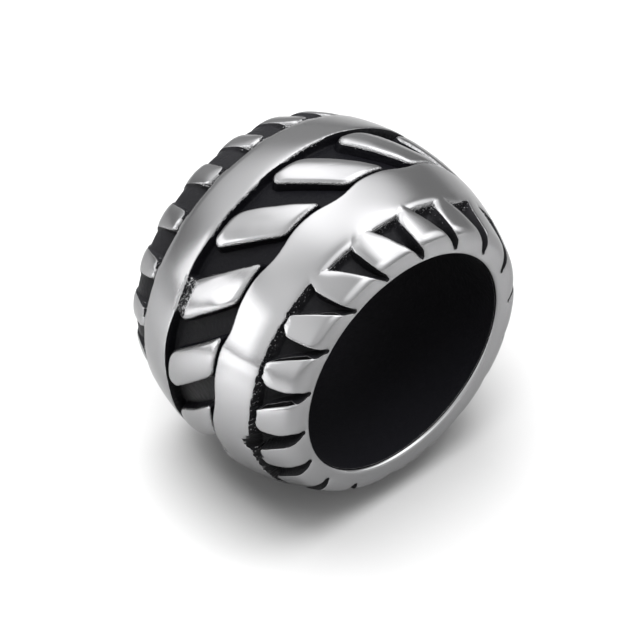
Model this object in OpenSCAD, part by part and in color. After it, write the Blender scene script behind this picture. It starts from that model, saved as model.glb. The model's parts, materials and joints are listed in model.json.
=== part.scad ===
// A large-hole barrel bead for a dreadlock, cast in one piece of stainless steel. Two smooth bands run
// round it. Leaning lobes stand in the trench between them, and a crown of tongues, parted by leaning
// pockets, closes each end. The hole for the lock of hair lies along Y and its seen end faces -Y.

/* [Bead] */
// Greatest outer diameter, over the crests of the lobes
outer_d = 12; // [11.4:0.1:14]
// Outer diameter of the barrel at its two ends, before the shoulders are rounded
end_d = 9.85; // [9.7:0.05:10.6]
// Length along the hole
bead_len = 7.9; // [7.2:0.1:10]
// Radius that rounds the outer shoulder of each end
shoulder_r = 0.55; // [0.2:0.05:0.6]

/* [Hair hole] */
// Diameter of the straight hole that the lock of hair goes through
bore_d = 8.2; // [6:0.1:8.4]
// Bevel round each mouth of the hole
mouth_bevel = 0.12; // [0.05:0.01:0.2]

/* [Bands] */
// Distance from the middle of the bead to the near edge of each smooth band
band_from = 1.12; // [0.9:0.02:1.4]
// Width of each smooth band, along the hole
band_w = 1.6; // [1.2:0.05:1.8]
// Depth of the blackened trench between the bands, at the middle of the bead
trench_depth = 0.5; // [0.3:0.05:0.7]

/* [Lobes] */
// Number of leaning lobes in the trench
lobe_count = 13; // [9:1:15]
// Width of a lobe, measured round the bead
lobe_w = 1.55; // [1.2:0.05:1.8]
// Lean of a lobe's long sides from the line of the hole, in degrees
lobe_lean = 43; // [30:1:50]
// Width of the dark groove between the lobes and each band
groove_w = 0.16; // [0.1:0.01:0.3]
// Radius of the rounded top of a lobe, across its lean
lobe_top_r = 1.5; // [1.2:0.1:3]
// Rounding of the two blunt corners of a lobe
lobe_blunt_r = 0.42; // [0.2:0.02:0.5]
// Rounding of the two pointed corners of a lobe
lobe_point_r = 0.1; // [0.05:0.01:0.15]

/* [End pockets] */
// Number of pockets at each end, with as many tongues between them
pocket_count = 18; // [12:1:20]
// Width of a pocket where it meets the band
pocket_w = 1.2; // [0.8:0.05:1.3]
// Width of the seen end's pockets where they turn over onto the end face
front_neck_w = 0.32; // [0.3:0.02:0.75]
// Width of the hidden end's pockets where they turn over onto the end face
rear_neck_w = 0.65; // [0.3:0.02:0.75]
// Depth of a pocket where it meets the band
pocket_depth = 0.5; // [0.3:0.05:0.7]
// Depth of a pocket at its tip, on the end face
tip_depth = 0.12; // [0.05:0.01:0.2]
// Least width of the bright rim between the tips of the pockets and the bevel of the hole
rim_w = 0.08; // [0.05:0.01:0.25]
// Rounding of the corners and tip of a pocket
pocket_corner_r = 0.1; // [0.05:0.01:0.14]

/* [Hand carving] */
// Mean lean of a pocket's tip behind its straight side, in degrees
pocket_lean = 3; // [0:0.5:5]
// Most that the lean of a pocket differs from the mean, in degrees
lean_swing = 4.5; // [0:0.5:5]
// Most that a lobe sits back from even spacing, in degrees
lobe_shift = 2; // [0:0.5:3]
// Most that a pocket of the seen end sits away from even spacing, in degrees
pocket_shift = 2.6; // [0:0.2:3]
// Most that a pocket of the seen end stops short of the others, towards its lower right
tip_swing = 0.46; // [0:0.02:0.5]
// Turn of the seen end's pockets about the hole, in degrees
front_turn = 9; // [0:1:20]
// Turn of the hidden end's pockets about the hole, in degrees
rear_turn = 3; // [0:1:20]

/* [Hidden] */
$fn = 180;

// A lobe's crest stands on top of the bead, so that two lobes share its weight underneath.
TOP = 90;
// The pockets lean most at this angle round the hole.
LEAN_PEAK = 20;
// The pockets of the seen end sit furthest onwards at this angle.
SHIFT_PEAK = 40;
// The pockets of the seen end stop furthest short of the hole at this angle.
SHORT_PEAK = 300;
// Straight pieces in each rounded corner of an outline
CORNER_STEPS = 4;
// How far a cutting tool runs past the metal
OVERRUN = 1;

outer_r = outer_d / 2;
end_r = end_d / 2;
bore_r = bore_d / 2;
half_len = bead_len / 2;
trench_r = outer_r - trench_depth;
band_to = band_from + band_w;

// The barrel is an arc through the middle's greatest radius and both ends.
barrel_rise = outer_r - end_r;
barrel_arc_r = (pow(barrel_rise, 2) + pow(half_len, 2)) / (2 * barrel_rise);
barrel_arc_x = outer_r - barrel_arc_r;

// The shoulder's circle lies inside the barrel's arc and against the end face.
shoulder_z = half_len - shoulder_r;
shoulder_x = barrel_arc_x + sqrt(pow(barrel_arc_r - shoulder_r, 2) - pow(shoulder_z, 2));

// The top of a lobe follows the barrel's own curve along the lobe's lean.
lobe_half_len = band_from - groove_w;
lobe_ring_r = 1 / (pow(cos(lobe_lean), 2) / barrel_arc_r + pow(sin(lobe_lean), 2) / outer_r);

// A pocket's floor falls from the band to the tip on the end face.
pocket_floor_x = barrel_at(band_to) - pocket_depth;
pocket_tip_r = bore_r + mouth_bevel + rim_w;

function barrel_at(z) = barrel_arc_x + sqrt(pow(barrel_arc_r, 2) - pow(z, 2));

function unit(v) = v / norm(v);

// Points of the arc that rounds corner p, between its neighbours a and b
function corner(a, p, b, r) =
    let (
        u = unit(a - p),
        v = unit(b - p),
        half_angle = acos(u * v) / 2,
        centre = p + unit(u + v) * r / sin(half_angle),
        from = p + u * r / tan(half_angle) - centre,
        to = p + v * r / tan(half_angle) - centre,
        start = atan2(from[1], from[0]),
        turn = atan2(from[0] * to[1] - from[1] * to[0], from * to)
    )
    [for (k = [0:CORNER_STEPS])
        centre + r * [cos(start + turn * k / CORNER_STEPS), sin(start + turn * k / CORNER_STEPS)]];

// An outline with each corner rounded by its own radius, where 0 leaves it sharp
function rounded(points, radii) =
    let (count = len(points))
    [for (i = [0:count - 1])
        each radii[i] == 0
            ? [points[i]]
            : corner(points[(i + count - 1) % count], points[i], points[(i + 1) % count], radii[i])];

// Outline of a lobe seen square on, as distance round the bead and height along the hole
function lobe_outline() =
    let (
        lean_by = lobe_half_len * tan(lobe_lean),
        half_w = lobe_w / 2
    )
    rounded(
        [
            [-lean_by - half_w, lobe_half_len],
            [lean_by - half_w, -lobe_half_len],
            [lean_by + half_w, -lobe_half_len],
            [-lean_by + half_w, lobe_half_len],
        ],
        [lobe_point_r, lobe_blunt_r, lobe_point_r, lobe_blunt_r]
    );

// Outline of a pocket seen square on to the barrel: its straight side is the left one
function pocket_front_outline(tip, neck_w) =
    let (
        half_w = pocket_w / 2,
        left = tip[1] - neck_w / 2,
        right = tip[1] + neck_w / 2,
        neck_z = half_len + tip_depth,
        above = half_len + OVERRUN
    )
    rounded(
        [
            [-half_w, band_to],
            [half_w, band_to],
            [right, neck_z],
            [right, above],
            [left, above],
            [left, neck_z],
        ],
        [pocket_corner_r, pocket_corner_r, 0, 0, 0, 0]
    );

// Outline of a pocket seen along the hole: a notch with a rounded tip, open all along the barrel
function pocket_end_outline(tip, neck_w) =
    let (beyond = outer_r + OVERRUN)
    rounded(
        [
            tip,
            tip + [neck_w, -neck_w],
            [pocket_floor_x, -beyond],
            [beyond, -beyond],
            [beyond, beyond],
            [pocket_floor_x, beyond],
            tip + [neck_w, neck_w],
        ],
        [pocket_corner_r, 0, 0, 0, 0, 0, 0]
    );

// Outline of a pocket seen from the side: its sloping floor and the wall under the band
function pocket_side_outline(tip) =
    let (
        above = half_len + OVERRUN,
        beyond = outer_r + OVERRUN
    )
    [
        [pocket_floor_x, band_to],
        [beyond, band_to],
        [beyond, above],
        [tip[0], above],
        [tip[0], half_len - tip_depth],
    ];

// Half of the lengthwise section, with the radius across and the hole's length upward
module section() {
    difference() {
        intersection() {
            translate([barrel_arc_x, 0])
                circle(r = barrel_arc_r);
            translate([bore_r, -half_len])
                square([outer_r, bead_len]);
            shoulder_bounds();
        }
        translate([trench_r, -band_from])
            square([outer_r, 2 * band_from]);
        for (end = [-1, 1])
            polygon([
                [bore_r - OVERRUN, end * half_len],
                [bore_r + mouth_bevel, end * half_len],
                [bore_r, end * (half_len - mouth_bevel)],
                [bore_r - OVERRUN, end * (half_len - mouth_bevel)],
            ]);
    }
}

// All but the sharp outer corners of the two ends
module shoulder_bounds() {
    translate([0, -shoulder_z])
        square([outer_r + OVERRUN, 2 * shoulder_z]);
    translate([0, -half_len])
        square([shoulder_x, bead_len]);
    for (end = [-1, 1])
        translate([shoulder_x, end * shoulder_z])
            circle(r = shoulder_r);
}

// A lobe is cut from a ring of round bar that leans across the trench
module lobe() {
    root_x = (bore_r + trench_r) / 2;
    intersection() {
        translate([root_x, 0, 0])
            rotate([90, 0, 90])
                linear_extrude(outer_r + OVERRUN - root_x)
                    polygon(lobe_outline());
        translate([outer_r - lobe_ring_r, 0, 0])
            rotate([lobe_lean - 90, 0, 0])
                rotate_extrude()
                    translate([lobe_ring_r - lobe_top_r, 0])
                        circle(r = lobe_top_r);
    }
}

module lobes() {
    for (i = [0:lobe_count - 1]) {
        even = 360 * i / lobe_count;
        rotate([0, 0, TOP + even - lobe_shift * pow(sin(even), 2)])
            lobe();
    }
}

// One pocket, as the space that its three outlines share
module pocket(lean, neck_w, tip_r) {
    tip_angle = -asin(pocket_w / 2 / barrel_at(band_to)) - lean;
    tip = tip_r * [cos(tip_angle), sin(tip_angle)];
    intersection() {
        rotate([90, 0, 90])
            linear_extrude(outer_r + OVERRUN)
                polygon(pocket_front_outline(tip, neck_w));
        linear_extrude(half_len + OVERRUN)
            polygon(pocket_end_outline(tip, neck_w));
        translate([0, outer_r, 0])
            rotate([90, 0, 0])
                linear_extrude(outer_d)
                    polygon(pocket_side_outline(tip));
    }
}

// The pockets of one end, with the most that they sit away from even spacing and stop short of the hole
module pockets(first, neck_w, shift, swing) {
    for (i = [0:pocket_count - 1]) {
        even = first + 360 * i / pocket_count;
        lean = pocket_lean + lean_swing * cos(even - LEAN_PEAK);
        tip_r = pocket_tip_r + swing * (1 + cos(even - SHORT_PEAK)) / 2;
        rotate([0, 0, even + shift * cos(even - SHIFT_PEAK)])
            pocket(lean, neck_w, tip_r);
    }
}

// The bead is modelled upright, seen end up, and then laid on its side
module bead() {
    color([0.74, 0.74, 0.75])
        rotate([90, 0, 0]) {
            difference() {
                rotate_extrude()
                    section();
                pockets(front_turn, front_neck_w, pocket_shift, tip_swing);
                rotate([180, 0, 0])
                    pockets(-rear_turn, rear_neck_w, 0, 0);
            }
            lobes();
        }
}

bead();
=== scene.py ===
"""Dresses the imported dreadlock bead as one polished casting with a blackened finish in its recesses.

The bead lies on its side with the hair hole along Y and the seen end towards -Y. Its meshes are worked
out standing up, as (angle round the hole, height along the hole, radius), and laid down at the end: the
height then runs towards -Y and an angle of 90 degrees is the top of the bead. A run is the distance
along the outside from the far edge of a smooth band, over the shoulder and in along the end face.
"""

import json
import logging
import math
from collections.abc import Mapping, Sequence
from dataclasses import dataclass, field
from enum import Enum

import bpy
import numpy as np
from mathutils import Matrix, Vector, noise


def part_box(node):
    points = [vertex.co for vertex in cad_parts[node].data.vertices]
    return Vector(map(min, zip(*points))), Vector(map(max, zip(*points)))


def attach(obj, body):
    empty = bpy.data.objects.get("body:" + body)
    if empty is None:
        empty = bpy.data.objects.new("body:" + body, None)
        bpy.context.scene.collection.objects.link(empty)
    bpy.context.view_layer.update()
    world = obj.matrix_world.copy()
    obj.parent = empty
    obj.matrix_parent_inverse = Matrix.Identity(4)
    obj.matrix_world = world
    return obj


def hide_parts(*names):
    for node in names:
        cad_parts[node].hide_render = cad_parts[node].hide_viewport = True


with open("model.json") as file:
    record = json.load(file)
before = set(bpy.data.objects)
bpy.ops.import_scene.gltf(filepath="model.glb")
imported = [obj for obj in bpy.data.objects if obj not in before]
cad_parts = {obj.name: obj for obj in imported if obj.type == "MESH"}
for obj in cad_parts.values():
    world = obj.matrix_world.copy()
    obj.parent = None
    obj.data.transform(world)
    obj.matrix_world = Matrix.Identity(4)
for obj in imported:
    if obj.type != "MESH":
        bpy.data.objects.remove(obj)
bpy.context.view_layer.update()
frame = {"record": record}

MM = 0.001
TURN = 360.0
BODY = "root"
NODE = "bead"
BORE_MOUNT = "hair_bore"
OXIDE = "oxide"
RAGGED = "ragged"
NOISE_SHIFT = (17.3, 5.1, 9.7)

Span = tuple[float, float]
Colour = tuple[float, float, float, float]

log = logging.getLogger("bead")


class End(Enum):
    """An end of the hair hole, and the way that its height runs."""

    SEEN = 1
    HIDDEN = -1


class Chance(Enum):
    """What noise is used for, with the seed that keeps each use apart from the others."""

    CROWN_EDGE = 3
    CROWN_WALL = 7
    GROOVE = 11
    BAND_EDGE = 21
    BAND_WALL = 23
    POLISH = 31


class Zone(Enum):
    """A stretch of the sleeve's surface, and what the place of a ring in it means."""

    TRENCH = "height"
    EDGE = "distance from the trench's edge"
    BAND = "height on the band"
    CROWN = "run"
    MOUTH = "share of the way round the bevel"
    BORE = "height in the hole"


def smooth_step(low: float, high: float, value: np.ndarray | float) -> np.ndarray:
    """Rises smoothly from 0 where value is low to 1 where it is high."""
    t = np.clip((value - low) / (high - low), 0.0, 1.0)
    return t * t * (3.0 - 2.0 * t)


def window(rise: Span, fall: Span, value: np.ndarray | float) -> np.ndarray:
    """1 between rise and fall and 0 beyond, where each is the two values between which that changes."""
    return smooth_step(*rise, value) * (1.0 - smooth_step(*fall, value))


def soft_min(a: np.ndarray, b: np.ndarray, blend: np.ndarray | float) -> np.ndarray:
    """The smaller of two distances, with the corner where they meet rounded over blend."""
    h = np.maximum(blend - np.abs(a - b), 0.0) / blend
    return np.minimum(a, b) - h * h * blend / 4.0


def cos_deg(degrees: np.ndarray | float) -> np.ndarray:
    """Cosine of an angle in degrees."""
    return np.cos(np.radians(degrees))


def grain(points: np.ndarray, size: float, chance: Chance) -> np.ndarray:
    """Smooth noise between about -1 and 1.

    Args:
        points: places in metres, with x, y and z along the last axis.
        size: about how far apart two bumps are, in metres.
        chance: what the noise is for.

    Returns:
        One value for each place.
    """
    flat = points.reshape(-1, 3) / size + np.array(NOISE_SHIFT) * chance.value
    values = np.fromiter((noise.noise(Vector(p)) for p in flat), float, len(flat))
    return values.reshape(points.shape[:-1])


def lay_down(radius: np.ndarray, height: np.ndarray, angle: np.ndarray) -> np.ndarray:
    """Places of points on the lying bead, from radius, height along the hole and angle in radians."""
    return np.stack((radius * np.cos(angle), -height, radius * np.sin(angle)), axis=-1)


def direction(azimuth: float, elevation: float) -> Vector:
    """Unit vector from the bead, for degrees round it from the seen end and degrees above the floor."""
    a, e = math.radians(azimuth), math.radians(elevation)
    return Vector((math.sin(a) * math.cos(e), -math.cos(a) * math.cos(e), math.sin(e)))


def make_mesh(
    name: str, points: np.ndarray, quads: Sequence, marks: Mapping[str, np.ndarray]
) -> bpy.types.Mesh:
    """Makes a smooth-shaded mesh.

    Args:
        name: name of the mesh.
        points: one row of x, y and z for each vertex.
        quads: the faces, as tuples of vertex numbers.
        marks: named numbers kept at each vertex, which the finish reads.

    Returns:
        The mesh, with its faces pointing outwards.
    """
    mesh = bpy.data.meshes.new(name)
    mesh.from_pydata(points.tolist(), [], quads)
    for mark, values in marks.items():
        layer = mesh.attributes.new(mark, "FLOAT", "POINT")
        layer.data.foreach_set("value", np.ascontiguousarray(values, dtype=np.float32).ravel())
    mesh.polygons.foreach_set("use_smooth", [True] * len(mesh.polygons))
    mesh.update()
    return mesh


def add_object(name: str, data: bpy.types.ID) -> bpy.types.Object:
    """Puts a mesh, a lamp or a camera in the scene at the origin.

    Args:
        name: name of the object.
        data: what the object shows.

    Returns:
        The object.
    """
    holder = bpy.data.objects.new(name, data)
    bpy.context.scene.collection.objects.link(holder)
    return holder


@dataclass(frozen=True)
class Hill:
    """A smooth hill, amount high at middle and down to about a third of that at reach on either side."""

    middle: float
    reach: float
    amount: float = 1.0

    def at(self, place: np.ndarray | float) -> np.ndarray:
        """Height of the hill at a place."""
        return self.amount * np.exp(-(((place - self.middle) / self.reach) ** 2))


@dataclass(frozen=True)
class Arc:
    """Something that is found on one part of the way round the bead.

    Attributes:
        start: where it begins, in degrees from 0 to 360.
        stop: where it ends, which is more than start.
        blend: how many degrees each of its smooth ends takes.
        amount: how much of it there is.
    """

    start: float
    stop: float
    blend: float
    amount: float = 1.0

    def at(self, angle: np.ndarray) -> np.ndarray:
        """Looks up how much there is.

        Args:
            angle: angles in degrees.

        Returns:
            The amount on the arc, and 0 off it.
        """
        half = (self.stop - self.start) / 2.0
        off = np.abs((angle - self.start - half + TURN / 2.0) % TURN - TURN / 2.0)
        return self.amount * (1.0 - smooth_step(half - self.blend / 2.0, half + self.blend / 2.0, off))


@dataclass(frozen=True)
class Patch:
    """Something that is found on an arc, and only on a stretch of it between two smooth ends.

    Attributes:
        arc: where it is round the bead, and how much of it there is.
        rise: the two places between which the stretch begins.
        fall: the two places between which it ends.
    """

    arc: Arc
    rise: Span
    fall: Span

    def at(self, angle: np.ndarray, place: np.ndarray | float) -> np.ndarray:
        """The amount on the patch and 0 off it, at angles in degrees and places along the stretch."""
        return self.arc.at(angle) * window(self.rise, self.fall, place)


# The foot of one lobe, and the trench beside it, were left as they came out of the mould.
AS_CAST = Patch(Arc(144.5, 157.5, 1.2), (-1.22 * MM, -1.14 * MM), (-0.68 * MM, -0.6 * MM))


class Value:
    """A node's output that grows Math nodes when it is used in an expression."""

    def __init__(self, nodes: "Nodes", socket: bpy.types.NodeSocket) -> None:
        """Wraps an output socket of a tree that nodes adds to."""
        self.nodes = nodes
        self.socket = socket

    def _math(self, operation: str, *operands: "Value | float") -> "Value":
        """Adds one Math node on the operands."""
        return self.nodes.add("ShaderNodeMath", {"operation": operation}, dict(enumerate(operands)))

    def __add__(self, other: "Value | float") -> "Value":
        """self + other."""
        return self._math("ADD", self, other)

    def __sub__(self, other: "Value | float") -> "Value":
        """self - other."""
        return self._math("SUBTRACT", self, other)

    def __mul__(self, other: "Value | float") -> "Value":
        """self * other."""
        return self._math("MULTIPLY", self, other)

    def __radd__(self, other: float) -> "Value":
        """other + self."""
        return self._math("ADD", other, self)

    def __rsub__(self, other: float) -> "Value":
        """other - self."""
        return self._math("SUBTRACT", other, self)

    def __rmul__(self, other: float) -> "Value":
        """other * self."""
        return self._math("MULTIPLY", other, self)

    def __pow__(self, exponent: float) -> "Value":
        """self ** exponent."""
        return self._math("POWER", self, exponent)

    def sine(self) -> "Value":
        """Sine of self, in radians."""
        return self._math("SINE", self)

    def step(self, low: float, high: float) -> "Value":
        """Rises smoothly from 0 where self is low to 1 where it is high."""
        ends = {"Value": self, "From Min": low, "From Max": high}
        return self.nodes.add("ShaderNodeMapRange", {"interpolation_type": "SMOOTHSTEP"}, ends)


class Nodes:
    """Adds nodes to one tree, for a finish, for the surroundings or for geometry."""

    def __init__(self, tree: bpy.types.NodeTree) -> None:
        """Starts on a tree."""
        self.tree = tree

    def add(self, kind: str, settings: Mapping | None = None, inputs: Mapping | None = None) -> Value | None:
        """Adds a node.

        Args:
            kind: the node's type.
            settings: properties of the node, set before its inputs.
            inputs: values or links, by the input's name or number.

        Returns:
            The node's first output that is in use, or nothing where it has none.
        """
        node = self.tree.nodes.new(kind)
        for name, setting in (settings or {}).items():
            setattr(node, name, setting)
        for key, given in (inputs or {}).items():
            if isinstance(given, Value):
                self.tree.links.new(given.socket, node.inputs[key])
            else:
                node.inputs[key].default_value = given
        in_use = [output for output in node.outputs if output.enabled]
        return Value(self, in_use[0]) if in_use else None

    def output(self, value: Value, name: str) -> Value:
        """Another output of the node that value comes from."""
        return Value(self, value.socket.node.outputs[name])

    def vector(self, operation: str, inputs: Mapping) -> Value:
        """Adds a Vector Math node."""
        return self.add("ShaderNodeVectorMath", {"operation": operation}, inputs)

    def mix(self, share: Value, first: Value | tuple, second: Value | tuple) -> Value:
        """The colour first where share is 0 and second where it is 1."""
        return self.add("ShaderNodeMix", {"data_type": "RGBA"}, {0: share, 6: first, 7: second})

    def attribute(self, name: str) -> Value:
        """A number that is kept at each vertex."""
        return self.output(self.add("ShaderNodeAttribute", {"attribute_name": name}), "Fac")


@dataclass(frozen=True)
class Barrel:
    """The smooth outer form of the bead, before the trench and the pockets are cut into it.

    Attributes:
        outer_r: greatest outer radius.
        half_len: half the length along the hole.
        bore_r: radius of the hair hole.
        end_r: outer radius at the ends, before the shoulders are rounded.
        shoulder_r: rounding of the shoulders.
        bevel: bevel round each mouth of the hole.
        band_from: height of a smooth band's near edge.
        band_to: height of its far edge.
        recess: depth of the trench and of the pockets at the band.
        rim_slope: how far the end face falls towards the hole, for each metre inwards.
    """

    outer_r: float
    half_len: float
    bore_r: float
    end_r: float = 4.925 * MM
    shoulder_r: float = 0.55 * MM
    bevel: float = 0.12 * MM
    band_from: float = 1.12 * MM
    band_to: float = 2.72 * MM
    recess: float = 0.5 * MM
    rim_slope: float = 0.04

    @property
    def arc_r(self) -> float:
        """Radius of the long arc from end to end."""
        rise = self.outer_r - self.end_r
        return (rise**2 + self.half_len**2) / (2.0 * rise)

    @property
    def arc_x(self) -> float:
        """Distance of the long arc's centre from the middle of the hole."""
        return self.outer_r - self.arc_r

    @property
    def shoulder_z(self) -> float:
        """Height of the shoulder's centre."""
        return self.half_len - self.shoulder_r

    @property
    def shoulder_x(self) -> float:
        """Radius at which the shoulder's centre lies."""
        return self.arc_x + math.sqrt((self.arc_r - self.shoulder_r) ** 2 - self.shoulder_z**2)

    @property
    def join_angle(self) -> float:
        """Slope at which the long arc runs into the shoulder."""
        return math.asin(self.shoulder_z / (self.arc_r - self.shoulder_r))

    @property
    def join_run(self) -> float:
        """Run at which the shoulder starts."""
        return self.arc_r * (self.join_angle - math.asin(self.band_to / self.arc_r))

    @property
    def face_run(self) -> float:
        """Run at which the end face starts."""
        return self.join_run + self.shoulder_r * (math.pi / 2.0 - self.join_angle)

    def radius_at(self, height: np.ndarray | float) -> np.ndarray:
        """Radius of the long arc at a height."""
        return self.arc_x + np.sqrt(self.arc_r**2 - height**2)

    def end_path(self, run: np.ndarray | float) -> tuple[np.ndarray, np.ndarray, np.ndarray]:
        """Follows the outside over the shoulder and in along the end face.

        Args:
            run: the run, which may be a little below zero.

        Returns:
            Radius, height and slope of the surface's normal at each run.
        """
        run = np.asarray(run)
        on_arc = run < self.join_run
        slope = np.where(
            on_arc,
            math.asin(self.band_to / self.arc_r) + run / self.arc_r,
            np.minimum(self.join_angle + (run - self.join_run) / self.shoulder_r, math.pi / 2.0),
        )
        size = np.where(on_arc, self.arc_r, self.shoulder_r)
        inward = np.maximum(run - self.face_run, 0.0)
        radius = np.where(on_arc, self.arc_x, self.shoulder_x) + size * np.cos(slope) - inward
        height = np.where(on_arc, 0.0, self.shoulder_z) + size * np.sin(slope)
        return radius, height - self.rim_slope * inward, slope


@dataclass(frozen=True)
class Crown:
    """The ring of pockets that leaves a ring of tongues at one end.

    Attributes:
        turn: angle of the first pocket's middle in degrees, before the pockets are shifted.
        shift: most that a pocket sits away from even spacing, in degrees.
        uneven: most that chance adds to that, in degrees.
        seed: which chance.
        reach: run of the furthest tips.
        short: most that a tip stops short of that.
        corner: rounding of a pocket's corners at the band.
        tip_corner: rounding of its tip.
        soft: distance from an edge over which the polished metal curves down to it.
        soft_drop: how far it curves down.
        strays: pockets that stand out: their shift and their tip's shift in degrees, by their number.
        count: how many pockets there are.
        wall: half the width over which a wall goes down.
        shift_peak: angle at which the pockets sit furthest onwards, in degrees.
        short_peak: angle at which the tips stop furthest short, in degrees.
        lip_run: runs over which a lip bends the surface.
        lip_sink: how far the surface goes down for each metre of lip or ledge.
    """

    turn: float
    shift: float
    uneven: float
    seed: int
    reach: float
    short: float
    corner: float
    tip_corner: float
    soft: float
    soft_drop: float
    strays: Mapping[int, Span] = field(default_factory=dict)
    count: int = 18
    wall: float = 0.055 * MM
    shift_peak: float = 40.0
    short_peak: float = 305.0
    lip_run: Hill = Hill(0.05 * MM, 0.35 * MM)
    lip_sink: float = 0.7

    def _stray(self) -> np.ndarray:
        """Two rows with the shift and the tip's shift of every pocket: 0 but for those that stand out."""
        return np.array([self.strays.get(pocket, (0.0, 0.0)) for pocket in range(self.count)]).T

    def middles(self) -> np.ndarray:
        """Places the pockets.

        Returns:
            Angles of their middles at the band, in degrees, and of one more past the last.
        """
        even = self.turn + TURN / self.count * np.arange(self.count)
        chance = np.random.default_rng(self.seed).uniform(-1.0, 1.0, self.count)
        placed = even + self.shift * cos_deg(even - self.shift_peak) + self.uneven * chance + self._stray()[0]
        return np.append(placed, placed[0] + TURN)

    def reaches(self) -> np.ndarray:
        """Run of each pocket's tip."""
        return self.reach - self.short * ((1.0 + cos_deg(self.middles() - self.short_peak)) / 2.0) ** 2

    def sides(self, run: float) -> tuple[np.ndarray, np.ndarray]:
        """Where the two sides of each pocket are.

        Args:
            run: the run at which they are wanted.

        Returns:
            Angle of the near side and of the far side of each pocket, in radians.
        """
        middle = self.middles()
        tip_shift = self._stray()[1]
        part = np.clip(run / self.reaches(), 0.0, 1.0)
        moved = middle + np.append(tip_shift, tip_shift[0]) * part
        low, high = self.offsets(middle, part, max(run, 0.0))
        return np.radians(moved + low), np.radians(moved + high)

    def lip(self, angle: np.ndarray) -> np.ndarray:
        """How far the wall at the band stands inside the outline, with bright metal sloping down to it."""
        return np.zeros_like(angle)

    def ledge(self, angle: np.ndarray, run: float, far: np.ndarray) -> np.ndarray:
        """How far a side wall stands inside the outline, where far marks the pockets' far sides."""
        return np.zeros_like(angle)

    def offsets(self, middle: np.ndarray, part: np.ndarray, run: float) -> tuple[np.ndarray, np.ndarray]:
        """Degrees from a pocket's middle to its sides, for the share of the way to its tip and a run."""
        raise NotImplementedError

    def floor(self, barrel: Barrel, run: float) -> tuple[np.ndarray, np.ndarray]:
        """Radius and height of the pockets' floor at a run."""
        raise NotImplementedError

    def grooved(self, inside: np.ndarray, run: float, angle: np.ndarray, rough: np.ndarray) -> np.ndarray:
        """Joins the groove at the band to the pockets, as the distance inside the nearest recess."""
        raise NotImplementedError

    def bright(self, angle: np.ndarray, run: float, far: np.ndarray) -> np.ndarray:
        """How far inside its edge a wall is still bright metal, where far marks the pockets' far sides."""
        raise NotImplementedError

    def rough_at(self, angle: np.ndarray, run: float) -> np.ndarray:
        """How rough the edges are, from 0 to 1, at angles in degrees and a run."""
        raise NotImplementedError


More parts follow.
